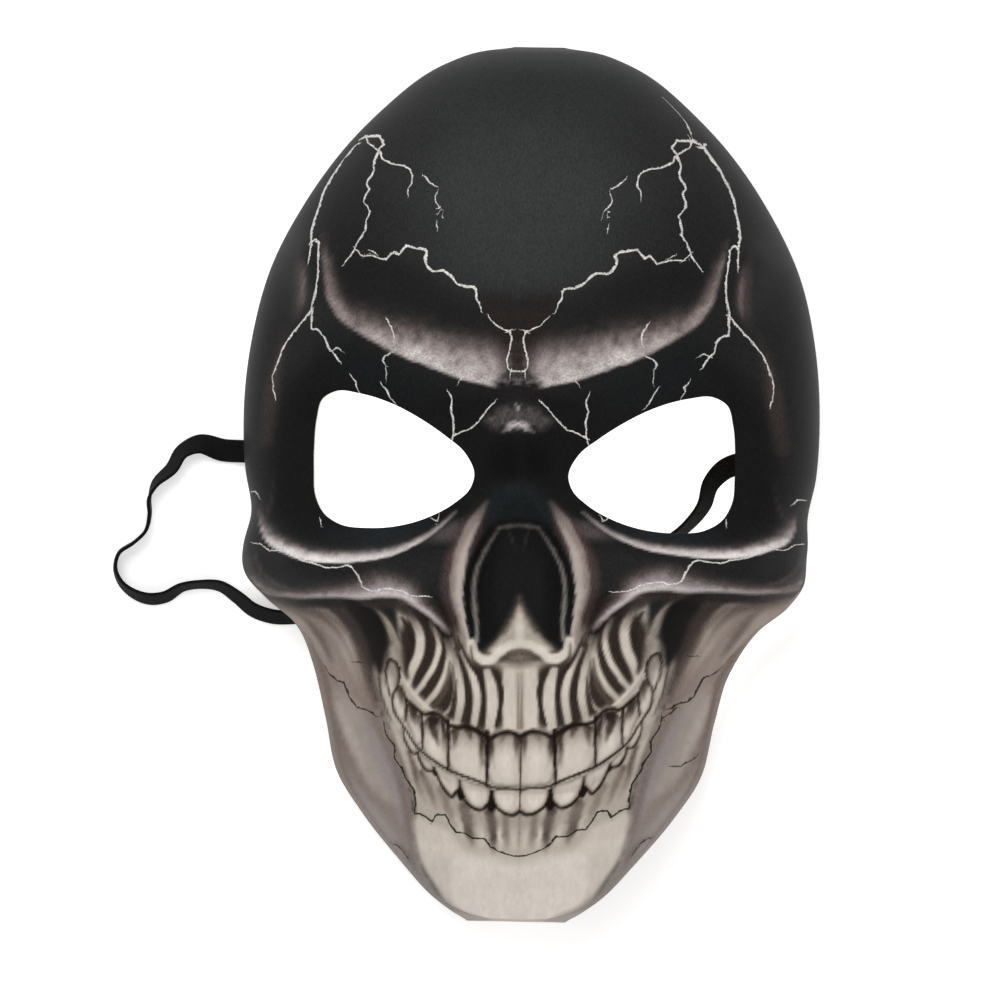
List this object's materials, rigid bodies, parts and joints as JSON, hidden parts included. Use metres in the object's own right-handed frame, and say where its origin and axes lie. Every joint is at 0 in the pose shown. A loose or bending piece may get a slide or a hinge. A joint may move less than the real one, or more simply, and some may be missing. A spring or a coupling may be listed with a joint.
{
  "type": "skull mask",
  "caption": "Full-face skull mask: a hollow moulded foam shell with a printed knit face, two cut eye openings and a flat elastic head band.",
  "frame": {"origin": "on the surface that the rim stands on, below the middle of the mask's outline", "axes": "+Z out of the face, +Y from chin to crown, +X to the right of someone who looks at the face"},
  "size_m": [0.2017, 0.25, 0.0732],
  "materials": {
    "printed_foam": "printed polyester knit laminated to moulded foam, matt",
    "elastic": "flat woven elastic, black, matt",
    "patch_felt": "plain black glued patch, matt"
  },
  "bodies": {
    "root": {"mask_shell": "printed_foam", "elastic_strap": "elastic", "strap_patch_left": "patch_felt", "strap_patch_right": "patch_felt"}
  },
  "joints": []
}
